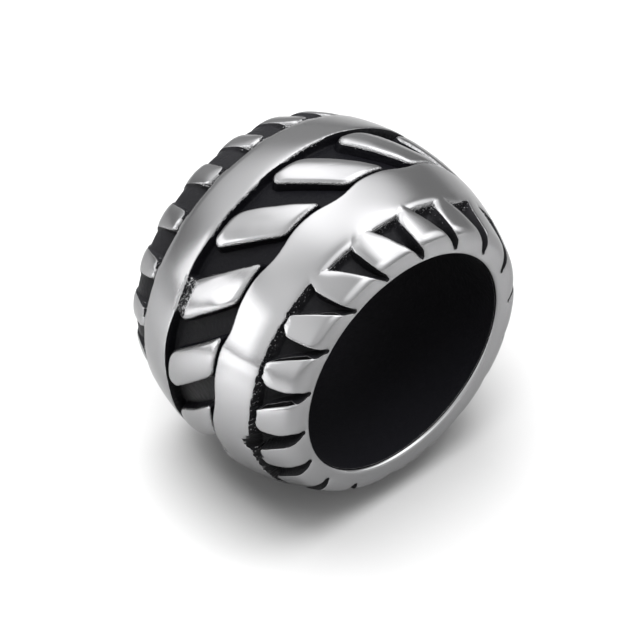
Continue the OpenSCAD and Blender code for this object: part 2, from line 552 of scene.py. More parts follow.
@dataclass(frozen=True)
class SeenCrown(Crown):
    """The crown at the seen end: hooked pockets cut with a graver, and a ragged groove low on the left.

    Attributes:
        sides_at: degrees from a pocket's middle to its near side and its far side at the band.
        tip_at: degrees from a pocket's middle to the middle of its tip.
        tip_half: half the width of a tip, in degrees.
        upright: where the pockets stand upright, and the degrees that this moves their tips.
        hollowed: the degrees that it moves their far sides.
        leaning: where the pockets lean most, and the degrees that this moves their tips.
        hooked: where their near side is hooked, and by how many degrees.
        hook: where the hook is, as a share of the way to the tip.
        flared: where their near side flares out at the band, and by how many degrees.
        flare_least: degrees of flare elsewhere.
        flare_run: runs over which it flares.
        bellied: where their far side bellies out, and by how many degrees.
        tip_depth: depth of the floor at the tips.
        floor_past: share of the floor that goes on beyond the band and beyond the tips.
        groove_at: angle at which the groove is widest.
        groove_span: how far the groove goes round, as a factor on a cosine.
        groove_w: half its width.
        groove_trim: how much narrower it is where it ends.
        groove_in: how far under the band its middle is.
        pits: least roughness of its edges, and how much more they have at its widest.
        hole_at: angle of the widest pit in the groove.
        hole_r: radius of that pit.
        hole_in: how far under the band its middle is.
        hole_long: how much longer it is round the bead, as a factor below 1.
        hole_pits: roughness of its edge.
        band_r: radius of the band beside the groove.
        closed: stands for half the groove's width where there is none.
        join: rounding where the groove meets the pockets.
        lipped: where the walls at the band have a lip, and how wide it is.
        ledged: where the near side walls have a ledge, and how wide it is.
        band_shine: where the walls at the band are bright at the top, and how far down.
        shine_run: runs over which they are.
        side_shine: where the far side walls are bright at the top, and how far down.
        rough_least: least roughness of the edges.
        rough_run: runs over which they are rougher, and by how much.
        nicked: where they are rougher all along, and by how much.
    """

    sides_at: Span = (-4.5, 6.0)
    tip_at: float = -9.2
    tip_half: float = 0.45
    upright: Arc = Arc(155.0, 290.0, 80.0, 5.7)
    hollowed: Arc = Arc(155.0, 290.0, 80.0, -0.6)
    leaning: Arc = Arc(345.0, 425.0, 90.0, -4.5)
    hooked: Arc = Arc(160.0, 275.0, 50.0, 1.7)
    hook: Hill = Hill(0.72, 0.18)
    flared: Arc = Arc(131.0, 330.0, 12.0, 1.4)
    flare_least: float = 0.8
    flare_run: Hill = Hill(0.0, 0.18 * MM)
    bellied: Arc = Arc(5.0, 98.0, 50.0, 2.0)
    tip_depth: float = 0.13 * MM
    floor_past: float = 0.1
    groove_at: float = 215.0
    groove_span: float = 1.1
    groove_w: float = 0.13 * MM
    groove_trim: float = 0.005 * MM
    groove_in: float = 0.02 * MM
    pits: Span = (0.0275 * MM, 0.0385 * MM)
    hole_at: float = 190.8
    hole_r: float = 0.26 * MM
    hole_in: float = 0.12 * MM
    hole_long: float = 0.85
    hole_pits: float = 0.03 * MM
    band_r: float = 5.5 * MM
    closed: float = -0.3 * MM
    join: float = 0.08 * MM
    lipped: Arc = Arc(50.0, 119.0, 5.0, 0.14 * MM)
    ledged: Patch = Patch(Arc(50.0, 104.0, 5.0, 0.05 * MM), (0.1 * MM, 0.4 * MM), (1.2 * MM, 1.6 * MM))
    band_shine: Arc = Arc(54.0, 117.0, 8.0, 0.03 * MM)
    shine_run: Hill = Hill(0.12 * MM, 0.2 * MM)
    side_shine: Patch = Patch(
        Arc(122.0, 176.0, 10.0, 0.055 * MM), (0.1 * MM, 0.3 * MM), (1.2 * MM, 1.5 * MM))
    rough_least: float = 0.2
    rough_run: Hill = Hill(0.0, 0.2 * MM, 0.8)
    nicked: Arc = Arc(62.0, 92.0, 6.0, 0.3)

    def offsets(self, middle: np.ndarray, part: np.ndarray, run: float) -> tuple[np.ndarray, np.ndarray]:
        """How far the two sides of each pocket are from its middle.

        Args:
            middle: angle of each pocket's middle at the band, in degrees.
            part: share of the way to each pocket's tip.
            run: the run.

        Returns:
            Degrees to the near side and to the far side.
        """
        near, far = self.sides_at
        tip = self.tip_at + self.upright.at(middle) + self.leaning.at(middle)
        hook = self.hooked.at(middle) * self.hook.at(part)
        flare = (self.flare_least + self.flared.at(middle)) * self.flare_run.at(run)
        belly = self.bellied.at(middle) + self.hollowed.at(middle)
        low = near + (tip - self.tip_half - near) * part**2 - hook - flare
        high = far + (tip + self.tip_half - far) * part + belly * np.sin(math.pi * part)
        return low, high

    def floor(self, barrel: Barrel, run: float) -> tuple[np.ndarray, np.ndarray]:
        """The pockets' floor, which runs straight from the band to the tips.

        Args:
            barrel: the form that the pockets are cut into.
            run: the run.

        Returns:
            Radius and height of the floor.
        """
        part = np.clip(run / self.reach, -self.floor_past, 1.0 + self.floor_past)
        radius, height, _ = barrel.end_path(self.reach)
        start = np.array((barrel.radius_at(barrel.band_to) - barrel.recess, barrel.band_to))
        stop = np.array((radius, height - self.tip_depth))
        return tuple(start + (stop - start) * part)

    def grooved(self, inside: np.ndarray, run: float, angle: np.ndarray, rough: np.ndarray) -> np.ndarray:
        """Joins the groove between the tongues and the band to the pockets.

        Args:
            inside: distance inside the nearest pocket's outline.
            run: the run.
            angle: angles round the bead, in degrees.
            rough: noise between about -1 and 1.

        Returns:
            Distance inside the nearest recess.
        """
        span = self.groove_span
        opened = np.clip(span * cos_deg(angle - self.groove_at) - (span - 1.0), 0.0, 1.0)
        half = self.groove_w * opened**2 - self.groove_trim + (self.pits[0] + self.pits[1] * opened) * rough
        groove = np.where(opened > 0.0, half, self.closed) - abs(run + self.groove_in)
        along = np.radians((angle - self.hole_at + TURN / 2.0) % TURN - TURN / 2.0) * self.band_r
        hole = self.hole_r - np.hypot(along * self.hole_long, run + self.hole_in) + self.hole_pits * rough
        return -soft_min(-inside, -np.maximum(groove, hole), self.join)

    def lip(self, angle: np.ndarray) -> np.ndarray:
        """How far the wall at the band stands inside the outline, with bright metal sloping down to it."""
        return self.lipped.at(angle)

    def ledge(self, angle: np.ndarray, run: float, far: np.ndarray) -> np.ndarray:
        """How far a side wall stands inside the outline, where far marks the pockets' far sides."""
        return (1.0 - far) * self.ledged.at(angle, run)

    def bright(self, angle: np.ndarray, run: float, far: np.ndarray) -> np.ndarray:
        """How far inside its edge a wall is still bright metal, where far marks the pockets' far sides."""
        return self.band_shine.at(angle) * self.shine_run.at(run) + far * self.side_shine.at(angle, run)

    def rough_at(self, angle: np.ndarray, run: float) -> np.ndarray:
        """How rough the edges are, from 0 to 1, at angles in degrees and a run."""
        at_band = self.rough_run.at(run - self.lip(angle))
        return np.clip(self.rough_least + at_band + self.nicked.at(angle), 0.0, 1.0)


@dataclass(frozen=True)
class HiddenCrown(Crown):
    """The crown at the hidden end: shallow pockets between rounded pads that stand clear of the band.

    Attributes:
        half_angle: half the width of a pocket at the band, in degrees.
        neck: half the width of its neck, in degrees.
        tip: half the width of its tip, in degrees.
        tip_from: share of the way at which the neck starts to narrow to the tip.
        lean: mean lean of a tip behind the pocket's near side, in degrees.
        lean_swing: most that the lean differs from that.
        lean_peak: angle at which it is most.
        groove_w: width of the groove between the pads and the band.
        groove_pits: roughness of its edge.
        join: rounding where it meets the pockets.
        shallow: depth of the floor at the tips.
        deep_run: runs over which the floor is deeper, and by how much.
        shine_run: runs over which the near side walls are bright at the top, and how far down.
        rough_least: least roughness of the edges.
        rough_run: runs over which they are rougher, and by how much.
    """

    half_angle: float = 5.8
    neck: float = 2.9
    tip: float = 0.8
    tip_from: float = 0.62
    lean: float = 3.0
    lean_swing: float = 4.5
    lean_peak: float = -20.0
    groove_w: float = 0.05 * MM
    groove_pits: float = 0.03 * MM
    join: float = 0.2 * MM
    shallow: float = 0.12 * MM
    deep_run: Hill = Hill(0.0, 0.5 * MM, 0.38 * MM)
    shine_run: Hill = Hill(0.15 * MM, 0.4 * MM, 0.05 * MM)
    rough_least: float = 0.15
    rough_run: Hill = Hill(0.2 * MM, 0.35 * MM, 0.85)

    def offsets(self, middle: np.ndarray, part: np.ndarray, run: float) -> tuple[np.ndarray, np.ndarray]:
        """How far the two sides of each pocket are from its middle.

        Args:
            middle: angle of each pocket's middle at the band, in degrees.
            part: share of the way to each pocket's tip.
            run: the run, which is not used.

        Returns:
            Degrees to the near side and to the far side.
        """
        tip = self.half_angle + self.lean + self.lean_swing * cos_deg(middle - self.lean_peak)
        half = self.neck + (self.tip - self.neck) * smooth_step(self.tip_from, 1.0, part)
        low = -self.half_angle * (1.0 - part) + (tip - half) * part
        high = self.half_angle * (1.0 - part) + (tip + half) * part
        return low, high

    def floor(self, barrel: Barrel, run: float) -> tuple[np.ndarray, np.ndarray]:
        """The pockets' floor, which follows the outside and is deepest at the band.

        Args:
            barrel: the form that the pockets are cut into.
            run: the run.

        Returns:
            Radius and height of the floor.
        """
        radius, height, slope = barrel.end_path(run)
        drop = self.shallow + self.deep_run.at(run)
        return radius - drop * np.cos(slope), height - drop * np.sin(slope)

    def grooved(self, inside: np.ndarray, run: float, angle: np.ndarray, rough: np.ndarray) -> np.ndarray:
        """Joins the groove between the pads and the band to the pockets.

        Args:
            inside: distance inside the nearest pocket's outline.
            run: the run.
            angle: angles round the bead, in degrees, which are not used.
            rough: noise between about -1 and 1.

        Returns:
            Distance inside the nearest recess.
        """
        groove = np.minimum(run, self.groove_w + self.groove_pits * rough - run)
        return -soft_min(-inside, -groove, self.join)

    def bright(self, angle: np.ndarray, run: float, far: np.ndarray) -> np.ndarray:
        """How far inside its edge a wall is still bright metal, where far marks the pockets' far sides."""
        return (1.0 - far) * self.shine_run.at(run)

    def rough_at(self, angle: np.ndarray, run: float) -> np.ndarray:
        """How rough the edges are, from 0 to 1, at angles in degrees and a run."""
        return (self.rough_least + self.rough_run.at(run)) * np.ones_like(angle)


@dataclass(frozen=True)
class Columns:
    """How the lines of the sleeve's mesh that run along the hole are shared out.

    Attributes:
        tongue: lines on a tongue.
        side: lines on a pocket's side wall.
        floor: lines on a pocket's floor.
        crowding: how far the lines on a tongue crowd towards its edges, from 0 to 1.
        narrowest: most of a pocket's width that one of its walls may take.
    """

    tongue: int = 14
    side: int = 6
    floor: int = 10
    crowding: float = 0.55
    narrowest: float = 0.3

    @property
    def per_pocket(self) -> int:
        """Lines for one pocket and its tongue."""
        return self.tongue + 2 * self.side + self.floor

    def even(self, crown_count: int, middle: float) -> np.ndarray:
        """Spaces the lines evenly.

        Args:
            crown_count: how many pockets there are.
            middle: angle of a pocket's middle in degrees.

        Returns:
            The angles in radians, once round.
        """
        count = crown_count * self.per_pocket
        first = self.side + self.floor / 2.0
        return np.radians(middle + (np.arange(count) - first) * TURN / count)

    def fitted(self, crown: Crown, barrel: Barrel, run: float) -> np.ndarray:
        """Fits the lines to the sides of a crown's pockets.

        Args:
            crown: the crown whose pockets are followed.
            barrel: the form that the pockets are cut into.
            run: the run.

        Returns:
            The angles in radians, once round.
        """
        low, high = crown.sides(run)
        radius = float(barrel.end_path(max(run, 0.0))[0])
        half_wall = np.minimum(crown.wall / radius, (high - low) * self.narrowest)
        knots = (low - half_wall, low + half_wall, high - half_wall, high + half_wall)
        ends = [knot[:-1] for knot in knots] + [knots[0][1:]]
        parts = []
        for start, stop, share in zip(ends[:-1], ends[1:], (self.side, self.floor, self.side, self.tongue)):
            t = np.arange(share) / share
            if share == self.tongue:
                t = (1.0 - self.crowding) * t + self.crowding * (0.5 - 0.5 * np.cos(math.pi * t))
            parts.append(start[:, None] + (stop - start)[:, None] * t[None, :])
        return np.concatenate(parts, axis=1).ravel()


@dataclass(frozen=True)
class Row:
    """One ring of the sleeve's mesh: its end, its zone, and its place, which means what the zone says."""

    end: End
    zone: Zone
    place: float


@dataclass(frozen=True)
class Ring:
    """The shape of one ring of the sleeve's mesh, with one value for each of its points.

    Attributes:
        radius: distance from the hole's axis.
        height: height along the hole.
        depth: how far down the point is in a recess, from 0 to 1.
        oxide: how black it is, from 0 to 1.
        ragged: how rough it is, from 0 to 1.
    """

    radius: np.ndarray
    height: np.ndarray
    depth: np.ndarray
    oxide: np.ndarray
    ragged: np.ndarray


@dataclass(frozen=True)
class Sleeve:
    """The barrel with its two bands, the trench, both crowns of pockets and the hair hole.

    Attributes:
        barrel: the smooth form.
        crowns: the crown of each end.
        columns: how the mesh's lines along the hole are shared out.
        floor_rings: rings on the trench's floor, as shares of the way to its edge.
        edge_rings: millimetres from the trench's edge to the rings beside it.
        band_gaps: millimetres from the rings on a band to the trench's edge and to the crown's rings.
        mouth_rings: rings on the bevel, as shares of the way round it.
        bore_rings: millimetres from the end of the bead to the rings in the hole.
        follow: how far before a crown the lines start to follow its pockets.
        unfollow: distances inside the mouth of the hole between which they stop following them.
        probe: run over which the slant of a pocket's side is measured.
        side_blend: rounding between the two sides of a pocket.
        edge_wall: half the width over which the trench's wall goes down.
        edge_soft: distance over which a band curves down to the trench.
        edge_drop: how far it curves down.
        edge_wave: how far a band's edges wander.
        wave_size: length of that wander at the crowns and at the trench.
        crown_run: runs over which a crown's edge wanders.
        trench_fade: distances from the trench's edge over which a band's wander fades.
        bite: how far the seen band's edge is ground back beside each lobe.
        bite_at: angle of the first bite.
        set_back: how far the trench's edge stands back, by its end.
        hidden_hills: angles over which the hidden band stands back further, and by how much.
        chip: how far the edges of the recesses are chipped.
        chip_size: length of a chip.
        chip_reach: distances from an edge over which the chips fade.
        pit_size: length of a pit in a crown's groove.
        clear: runs between which the hidden crown's edges start to be chipped.
        rough_least: least roughness of the trench's edges, by their end.
        seen_rough: where the seen band's edge is rougher, and by how much.
        hidden_rough: where the hidden band's edge is crumbly, and by how much.
        hidden_shine: how far down the wall is bright there, for each part of crumbs.
        cast_fill: share of the trench's depth that is filled where the casting wasn't cleaned.
        cast_shine: share of the black that is missing there.
        cast_ragged: how rough it is there.
        crown_black: distances past the top of a crown's wall between which it turns black.
        trench_black: the same at the trench.
        crumbs: distances inside the top of a wall at which it is crumbly.
        crumb_start: distances between which the crumbs start.
        floor_clean: share of the crumbs that a crown's floors lack.
        floor_depths: depths between which they start to lack them.
        wall_clean: depths between which the hidden band's wall turns clean.
        waviness: how uneven the polished metal is.
        waviness_size: length of a wave in it.
        worn_from: distances outside the hair hole between which it starts.
        crease: depth of the crease across the seen band.
        crease_at: angle of the crease in degrees, then the degrees of its steep and of its slow side.
        crease_over: heights between which it begins, and between which it ends.
    """

    barrel: Barrel
    crowns: Mapping[End, Crown]
    columns: Columns = Columns()
    floor_rings: Span = (0.35, 0.7)
    edge_rings: tuple[float, ...] = (-0.17, -0.1, -0.06, -0.03, 0.0, 0.03, 0.06, 0.1, 0.16, 0.24)
    band_gaps: Span = (0.34, 0.1)
    mouth_rings: tuple[float, ...] = (0.0, 0.33, 0.67, 1.0)
    bore_rings: tuple[float, ...] = (0.2, 0.8, 2.2)
    follow: float = 0.9 * MM
    unfollow: Span = (2.5 * MM, 0.2 * MM)
    probe: float = 0.05 * MM
    side_blend: float = 0.04 * MM
    edge_wall: float = 0.05 * MM
    edge_soft: float = 0.1 * MM
    edge_drop: float = 0.03 * MM
    edge_wave: float = 0.035 * MM
    wave_size: Span = (1.1 * MM, 1.3 * MM)
    crown_run: Hill = Hill(0.0, 0.3 * MM)
    trench_fade: Hill = Hill(0.0, 0.4 * MM)
    bite: float = 0.15 * MM
    bite_at: float = 94.9
    set_back: Mapping[End, float] = field(
        default_factory=lambda: {End.SEEN: 0.01 * MM, End.HIDDEN: 0.03 * MM})
    hidden_hills: tuple[Hill, ...] = (Hill(191.0, 14.0, 0.12 * MM), Hill(153.0, 8.0, 0.07 * MM))
    chip: float = 0.02 * MM
    chip_size: float = 0.13 * MM
    chip_reach: Hill = Hill(0.0, 0.12 * MM)
    pit_size: float = 0.14 * MM
    clear: Span = (-0.05 * MM, 0.1 * MM)
    rough_least: Mapping[End, float] = field(default_factory=lambda: {End.SEEN: 0.25, End.HIDDEN: 0.3})
    seen_rough: Arc = Arc(150.0, 215.0, 30.0, 0.5)
    hidden_rough: tuple[Arc, ...] = (Arc(107.0, 131.0, 2.0, 0.7), Arc(80.0, 98.0, 3.0, 0.7))
    hidden_shine: float = 0.022 * MM / 0.7
    cast_fill: float = 0.75
    cast_shine: float = 0.45
    cast_ragged: float = 0.9
    crown_black: Span = (-0.02 * MM, 0.02 * MM)
    trench_black: Span = (-0.015 * MM, 0.02 * MM)
    crumbs: Hill = Hill(0.03 * MM, 0.07 * MM)
    crumb_start: Span = (-0.06 * MM, 0.0)
    floor_clean: float = 0.85
    floor_depths: Span = (0.55, 0.95)
    wall_clean: Span = (0.1, 0.4)
    waviness: float = 0.012 * MM
    waviness_size: float = 1.7 * MM
    worn_from: Span = (0.05 * MM, 0.4 * MM)
    crease: float = 0.05 * MM
    crease_at: tuple[float, float, float] = (156.5, 8.0, 28.0)
    crease_over: tuple[Span, Span] = ((0.9 * MM, 1.2 * MM), (2.75 * MM, 3.1 * MM))

    def rows(self) -> list[Row]:
        """Lists the rings of the mesh.

        Returns:
            The rings in order, once round the section from the middle of the trench.
        """
        seen_runs = [-0.42, -0.36, -0.31, -0.26, -0.22, -0.185, -0.15, -0.12, -0.095, -0.07, -0.045, -0.02]
        seen_runs += [0.005, 0.03, 0.055, 0.08, 0.105, 0.13, 0.16, 0.2, 0.25]
        seen_runs += [*np.linspace(0.31, 1.29, 15), *np.linspace(1.34, 1.96, 16)]
        hidden_runs = [*np.linspace(-0.12, 0.24, 13), *np.linspace(0.31, 1.3, 13)]
        hidden_runs += [*np.linspace(1.38, 1.94, 9)]
        seen = self._half(End.SEEN, 8, seen_runs)
        hidden = self._half(End.HIDDEN, 7, hidden_runs)
        return [Row(End.SEEN, Zone.TRENCH, 0.0)] + seen + [Row(End.SEEN, Zone.BORE, 0.0)] + hidden[::-1]

    def _half(self, end: End, across: int, runs: Sequence[float]) -> list[Row]:
        """The rings of one end, from the trench to the middle of the hole.

        Args:
            end: the end that they belong to.
            across: how many rings cross the band.
            runs: runs of the rings past the band, in millimetres.

        Returns:
            The rings.
        """
        b = self.barrel
        near, far = self.band_gaps
        stretches = {
            Zone.TRENCH: np.array(self.floor_rings) * b.band_from,
            Zone.EDGE: np.array(self.edge_rings) * MM,
            Zone.BAND: np.linspace(b.band_from + near * MM, b.band_to + (min(runs) - far) * MM, across),
            Zone.CROWN: np.array(runs) * MM,
            Zone.MOUTH: self.mouth_rings,
            Zone.BORE: b.half_len - np.array(self.bore_rings) * MM,
        }
        return [Row(end, zone, float(place)) for zone, places in stretches.items() for place in places]

    def _angles(self, row: Row) -> np.ndarray:
        """Places the points of one ring, which follow the pockets near the crowns.

        Args:
            row: the ring.

        Returns:
            The angles of its points in radians.
        """
        b = self.barrel
        crown = self.crowns[row.end]
        middle = (self.crowns[End.SEEN].turn + self.crowns[End.HIDDEN].turn) / 2.0
        even = self.columns.even(crown.count, middle)
        run, share = 0.0, 0.0
        if row.zone is Zone.CROWN:
            run = row.place
            share = smooth_step(-self.follow, 0.0, run)
        elif row.zone is Zone.BAND:
            share = smooth_step(-self.follow, 0.0, row.place - b.band_to)
        elif row.zone is Zone.MOUTH:
            run, share = crown.reach, 1.0
        elif row.zone is Zone.BORE:
            low, high = (b.half_len - inside for inside in self.unfollow)
            run, share = crown.reach, smooth_step(low, high, row.place)
        return even + (self.columns.fitted(crown, b, run) - even) * share

    def _pocket_distance(
        self, crown: Crown, run: float, angle: np.ndarray, radius: np.ndarray
    ) -> tuple[np.ndarray, np.ndarray]:
        """Finds the nearest pocket's outline along one ring.

        Args:
            crown: the crown that the ring crosses.
            run: the run of the ring.
            angle: angles of the ring's points, in radians.
            radius: their distance from the axis.

        Returns:
            Distance inside the outline, below zero outside it, and 1 where the pocket's far side is nearest.
        """
        low, high = crown.sides(run)
        slants = [np.cos(np.arctan((after - now) * self.barrel.end_r / self.probe))
                  for now, after in zip((low, high), crown.sides(run + self.probe))]
        reach = crown.reaches()
        start = run - crown.lip(np.degrees(angle) % TURN)
        own = np.repeat(np.arange(crown.count), self.columns.per_pocket)
        found = np.full(angle.shape, -1.0)
        far = np.zeros(angle.shape)
        for step in (0, 1):
            pick = (own + step) % crown.count
            wrap = 2.0 * math.pi * ((own + step) // crown.count)
            from_low = (angle - low[pick] - wrap) * radius * slants[0][pick]
            from_high = (high[pick] + wrap - angle) * radius * slants[1][pick]
            ends = np.minimum(start, reach[pick] - run)
            corner = np.where(run < reach[pick] / 2.0, crown.corner, crown.tip_corner)
            here = soft_min(soft_min(from_low, from_high, self.side_blend), ends, corner)
            far = np.where(here > found, 1.0 * (from_high < from_low), far)
            found = np.maximum(found, here)
        return found, far

    def _wander(self, row: Row, angle: np.ndarray) -> np.ndarray:
        """How far a band's edge wanders, at a crown or at the trench.

        Args:
            row: a ring near the edge.
            angle: angles of its points, in radians.

        Returns:
            The distance at each point.
        """
        b = self.barrel
        ones = np.ones(angle.shape)
        if row.zone is Zone.CROWN:
            edge = lay_down(b.end_r * ones, row.end.value * b.band_to * ones, angle)
            return self.edge_wave * grain(edge, self.wave_size[0], Chance.CROWN_EDGE)
        edge = lay_down(b.outer_r * ones, row.end.value * b.band_from * ones, angle)
        return self.edge_wave * grain(edge, self.wave_size[1], Chance.BAND_EDGE)

    def _crown_ring(self, row: Row, angle: np.ndarray) -> Ring:
        """Shapes one ring that crosses a crown.

        Args:
            row: the ring.
            angle: angles of its points, in radians.

        Returns:
            The shape of the ring.
        """
        b = self.barrel
        crown = self.crowns[row.end]
        way = row.end.value
        run = row.place
        degrees = np.degrees(angle) % TURN
        radius, height, slope = b.end_path(run + self._wander(row, angle) * self.crown_run.at(run))
        spots = lay_down(radius, way * height, angle)
        inside, far = self._pocket_distance(crown, run, angle, radius)
        inside = crown.grooved(inside, run, degrees, grain(spots, self.pit_size, Chance.GROOVE))
        rough = crown.rough_at(degrees, run)
        ledge = crown.ledge(degrees, run, far)
        inside = inside - ledge
        chip = self.chip * rough * grain(spots, self.chip_size, Chance.CROWN_WALL)
        if row.end is End.HIDDEN:
            chip = chip * smooth_step(*self.clear, run)
        inside = inside + chip * self.chip_reach.at(inside)
        depth = smooth_step(-crown.wall, crown.wall, inside)
        past = inside + crown.wall - crown.bright(degrees, run, far)
        lip = crown.lip(degrees) * crown.lip_run.at(run)
        bend = crown.soft_drop + crown.lip_sink * (ledge + lip)
        soft = bend * np.exp(np.minimum(inside, 0.0) / crown.soft)
        floor_r, floor_z = crown.floor(b, run)
        radius = radius - soft * np.cos(slope)
        height = height - soft * np.sin(slope)
        radius = radius + (floor_r - radius) * depth
        height = height + (floor_z - height) * depth
        clean = 1.0 - self.floor_clean * smooth_step(*self.floor_depths, depth)
        ragged = self._crumbly(past) * rough * clean
        return Ring(radius, way * height, depth, smooth_step(*self.crown_black, past), ragged)

    def _trench_ring(self, row: Row, angle: np.ndarray) -> Ring:
        """Shapes one ring in the trench or on a band.

        Args:
            row: the ring.
            angle: angles of its points, in radians.

        Returns:
            The shape of the ring.
        """
        b = self.barrel
        way = row.end.value
        degrees = np.degrees(angle) % TURN
        nominal = row.place + b.band_from * (row.zone is Zone.EDGE)
        fade = self.trench_fade.at(nominal - b.band_from)
        wave = self._wander(row, angle)
        rough = self.rough_least[row.end]
        if row.end is End.SEEN:
            bites = 0.5 + 0.5 * np.cos(LobeRing.count * (angle - math.radians(self.bite_at)))
            wave = wave + self.bite * bites**1.5
            rough = rough + self.seen_rough.at(degrees)
            shine = 0.0
        else:
            wave = 2.0 * wave - sum(hill.at(degrees) for hill in self.hidden_hills)
            crumbs = sum(arc.at(degrees) for arc in self.hidden_rough)
            rough = rough + crumbs
            shine = self.hidden_shine * crumbs
        wave = wave - self.set_back[row.end]
        height = nominal + wave * fade
        spots = lay_down(np.full(angle.shape, b.outer_r), way * height, angle)
        chip = self.chip * rough * grain(spots, self.chip_size, Chance.BAND_WALL)
        inside = b.band_from - nominal + chip * fade
        cast = AS_CAST.at(degrees, way * height)
        depth = smooth_step(-self.edge_wall, self.edge_wall, inside) * (1.0 - self.cast_fill * cast)
        surface = b.radius_at(height) - self.edge_drop * np.exp(np.minimum(inside, 0.0) / self.edge_soft)
        radius = surface + (b.outer_r - b.recess - surface) * depth
        past = inside + self.edge_wall - shine
        oxide = smooth_step(*self.trench_black, past) * (1.0 - self.cast_shine * cast)
        ragged = self._crumbly(past) * rough
        if row.end is End.HIDDEN:
            ragged = ragged * (1.0 - smooth_step(*self.wall_clean, depth))
        return Ring(radius, way * height, depth, oxide, np.maximum(ragged, self.cast_ragged * cast))

    def _crumbly(self, inside: np.ndarray) -> np.ndarray:
        """How rough the casting is at a distance past the top of a wall: none outside the recess."""
        return self.crumbs.at(inside) * smooth_step(*self.crumb_start, inside)

    def _hole_ring(self, row: Row, angle: np.ndarray) -> Ring:
        """Shapes one ring on the bevel or in the hair hole.

        Args:
            row: the ring.
            angle: angles of its points, in radians.

        Returns:
            The shape of the ring.
        """
        b = self.barrel
        ones = np.ones(angle.shape)
        if row.zone is Zone.BORE:
            return Ring(b.bore_r * ones, row.end.value * row.place * ones, ones, ones, 0.0 * ones)
        face_z = b.half_len - b.rim_slope * (b.shoulder_x - b.bore_r - b.bevel)
        turn = row.place * math.pi / 2.0
        radius = b.bore_r + b.bevel * (1.0 - math.sin(turn))
        height = face_z - b.bevel * (1.0 - math.cos(turn))
        return Ring(radius * ones, row.end.value * height * ones, 0.0 * ones, 0.0 * ones, 0.0 * ones)

    def _worn(self, points: np.ndarray, depth: np.ndarray) -> np.ndarray:
        """Makes the polished metal slightly uneven, with a crease across the seen band, always inwards.

        Args:
            points: places of the mesh's points.
            depth: how far down each point is in a recess, from 0 to 1.

        Returns:
            The places after the polishing.
        """
        radius = np.hypot(points[..., 0], points[..., 2])
        start, full = (self.barrel.bore_r + past for past in self.worn_from)
        outside = smooth_step(start, full, radius)
        dent = self.waviness * (0.5 + 0.5 * grain(points, self.waviness_size, Chance.POLISH))
        first, steep, slow = self.crease_at
        past = np.degrees(np.arctan2(points[..., 2], points[..., 0])) % TURN - first
        slide = np.clip(past / steep, 0.0, 1.0) * (1.0 - smooth_step(steep, slow, past))
        dent = dent + self.crease * slide * window(*self.crease_over, -points[..., 1])
        dent = dent * outside * (1.0 - depth)
        flat = points * np.array((1.0, 0.0, 1.0)) / radius[..., None]
        return points - flat * dent[..., None]

    def build(self, finish: bpy.types.Material) -> bpy.types.Object:
        """Makes the closed sleeve.

        Args:
            finish: its material.

        Returns:
            The object, with its place in its mesh.
        """
        shapes = {Zone.CROWN: self._crown_ring, Zone.MOUTH: self._hole_ring, Zone.BORE: self._hole_ring}
        places, rings = [], []
        for row in self.rows():
            angle = self._angles(row)
            ring = shapes.get(row.zone, self._trench_ring)(row, angle)
            places.append(lay_down(ring.radius, ring.height, angle))
            rings.append(ring)
        points = self._worn(np.array(places), np.array([ring.depth for ring in rings]))
        count, around = points.shape[:2]
        here = np.arange(count * around).reshape(count, around)
        up, on = np.roll(here, -1, axis=0), np.roll(here, -1, axis=1)
        quads = np.stack((here, up, np.roll(up, -1, axis=1), on), axis=-1).reshape(-1, 4).tolist()
        oxide = np.array([ring.oxide for ring in rings])
        ragged = np.array([ring.ragged for ring in rings])
        mesh = make_mesh("sleeve", points.reshape(-1, 3), quads, {OXIDE: oxide, RAGGED: ragged})
        piece = add_object("sleeve", mesh)
        piece.data.materials.append(finish)
        return piece


